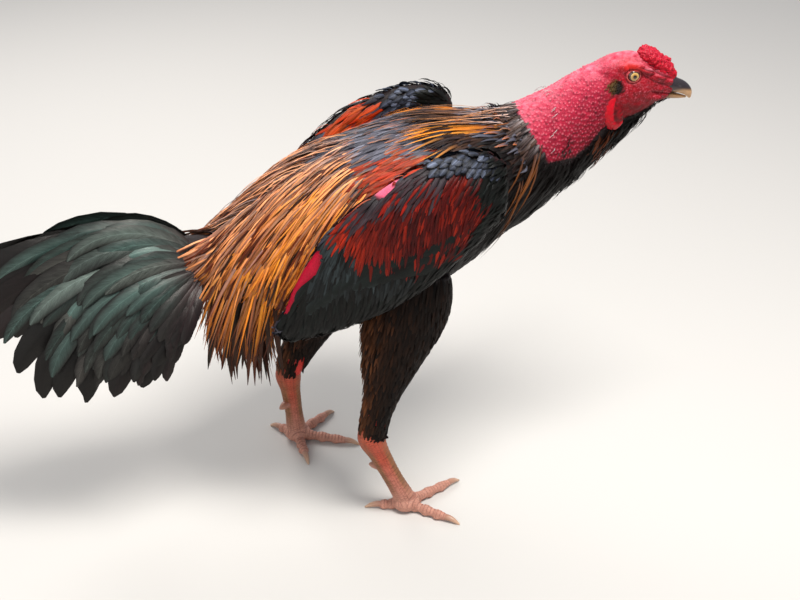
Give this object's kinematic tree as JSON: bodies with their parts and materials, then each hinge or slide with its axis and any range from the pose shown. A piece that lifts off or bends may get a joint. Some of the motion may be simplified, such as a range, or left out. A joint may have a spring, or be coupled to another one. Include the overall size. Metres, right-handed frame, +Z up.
{
  "type": "game chicken",
  "caption": "Life-size standing game cock with stretched bare neck, pea comb, draped saddle feathers, low fanned tail and spread toes, for display.",
  "frame": {"origin": "centre of the bounding box, on the floor that both feet stand on", "axes": "+X the way the bird faces, from tail to beak; +Y its left; +Z up"},
  "size_m": [0.6059, 0.2076, 0.3876],
  "materials": {
    "body_feathers": "close black feathers with a faint green sheen",
    "saddle_feathers": "long narrow orange-gold feathers over slate, rust to black at the tips",
    "hackle_feathers": "narrow charcoal and brown feathers edged with orange",
    "neck_skin": "bare pink-red skin with rows of small pimples",
    "face_skin": "bare crimson wrinkled skin",
    "comb_flesh": "smooth bright red flesh",
    "beak_horn": "dark horn, paler at the tip",
    "eye": "amber iris under a clear glossy surface",
    "wing_feathers": "maroon bow, blue-black scalloped shoulder, black quills with a blue-green sheen",
    "tail_feathers": "black with a green sheen",
    "leg_feathers": "short black feathers, brown at the back edge",
    "leg_scales": "horny plates, pale pink in front and olive-grey at the sides",
    "claw_horn": "pale brown horn"
  },
  "bodies": {
    "root": {"torso": "body_feathers", "saddle": "saddle_feathers", "hackle": "hackle_feathers", "neck": "neck_skin", "head": "face_skin", "comb": "comb_flesh", "lobe_left": "comb_flesh", "lobe_right": "comb_flesh", "beak_upper": "beak_horn", "beak_lower": "beak_horn", "eye_left": "eye", "eye_right": "eye", "wing_left": "wing_feathers", "wing_right": "wing_feathers", "tail": "tail_feathers", "thigh_left": "leg_feathers", "thigh_right": "leg_feathers", "shank_left": "leg_scales", "shank_right": "leg_scales", "foot_left": "leg_scales", "foot_right": "leg_scales", "claw_middle_left": "claw_horn", "claw_outer_left": "claw_horn", "claw_inner_left": "claw_horn", "claw_hind_left": "claw_horn", "claw_middle_right": "claw_horn", "claw_outer_right": "claw_horn", "claw_inner_right": "claw_horn", "claw_hind_right": "claw_horn", "spur_left": "claw_horn", "spur_right": "claw_horn"}
  },
  "joints": []
}
